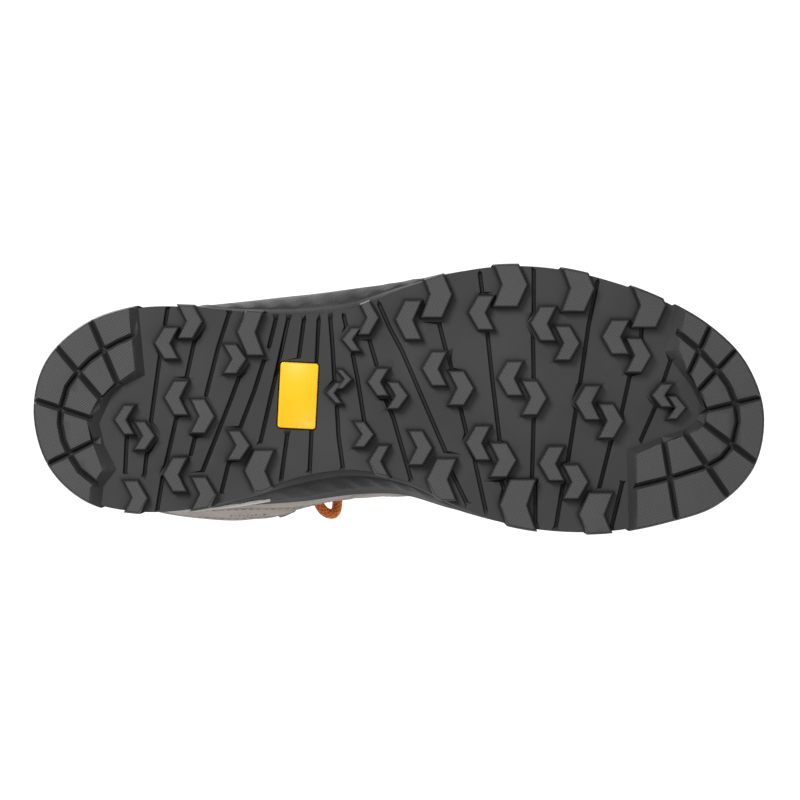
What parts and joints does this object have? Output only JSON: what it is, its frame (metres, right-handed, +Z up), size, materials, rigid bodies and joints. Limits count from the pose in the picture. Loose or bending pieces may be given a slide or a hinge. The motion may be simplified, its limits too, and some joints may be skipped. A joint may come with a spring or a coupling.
{
  "type": "hiking boot",
  "caption": "Right mid-cut hiking boot with a lugged rubber sole, suede upper, rubber rand, laces, hooks, footbed and pull loops.",
  "frame": {"origin": "on the ground, under the middle of the box round the boot", "axes": "+X towards the toe, +Y towards the inner (medial) side, +Z up"},
  "size_m": [0.2995, 0.1115, 0.1847],
  "materials": {
    "sole_rubber": "matte moulded rubber",
    "inlay": "satin moulded yellow",
    "midsole_foam": "matte foam rubber",
    "accent": "satin",
    "shank_nylon": "matte",
    "board": "pressed fibre",
    "footbed_cloth": "brushed cloth",
    "rand_rubber": "matte rubber",
    "stiffener": "matte",
    "suede_taupe": "brushed suede",
    "suede_dark": "brushed suede",
    "foam": "open-cell foam",
    "lining_cloth": "knitted lining",
    "binding": "soft binding",
    "eyestay_leather": "smooth leather",
    "tongue_cloth": "woven cloth",
    "webbing": "woven webbing",
    "hook_metal": "black lacquer",
    "lace_cord": "braided cord",
    "pull_webbing": "woven webbing"
  },
  "bodies": {
    "boot": {"outsole": "sole_rubber", "sole_badge": "inlay", "midsole": "midsole_foam", "midsole_accent": "accent", "shank": "shank_nylon", "lasting_board": "board", "rand": "rand_rubber", "heel_cap": "rand_rubber", "toe_puff": "stiffener", "heel_counter": "stiffener", "vamp": "suede_taupe", "quarter_lateral": "suede_dark", "quarter_medial": "suede_taupe", "collar_foam": "foam", "vamp_lining": "lining_cloth", "lining_lateral": "lining_cloth", "lining_medial": "lining_cloth", "collar_binding": "binding", "eyestay_lateral": "eyestay_leather", "eyestay_medial": "eyestay_leather", "tongue": "tongue_cloth", "tongue_foam": "foam", "tongue_lining": "lining_cloth", "lace_loops_lateral": "webbing", "lace_loops_medial": "webbing", "lace_hooks_lateral": "hook_metal", "lace_hooks_medial": "hook_metal", "lace": "lace_cord", "lace_knot": "lace_cord", "heel_pull_base": "webbing", "tongue_pull_base": "webbing"},
    "footbed": {"footbed": "footbed_cloth"},
    "heel_pull": {"heel_pull_loop": "pull_webbing"},
    "tongue_pull": {"tongue_pull_loop": "pull_webbing"}
  },
  "joints": [
    {"name": "footbed_lift", "type": "hinge", "parent": "boot", "child": "footbed", "pos_m": [0.1345, 0.008, 0.03], "axis": [0, 1, 0], "range_deg": [0, 6]},
    {"name": "heel_pull_swing", "type": "hinge", "parent": "boot", "child": "heel_pull", "pos_m": [-0.14231, 0.00896, 0.14426], "axis": [0, 1, 0], "range_deg": [0, 150]},
    {"name": "tongue_pull_swing", "type": "hinge", "parent": "boot", "child": "tongue_pull", "pos_m": [-0.04453, 0.009, 0.18203], "axis": [0, -1, 0], "range_deg": [0, 140]}
  ]
}
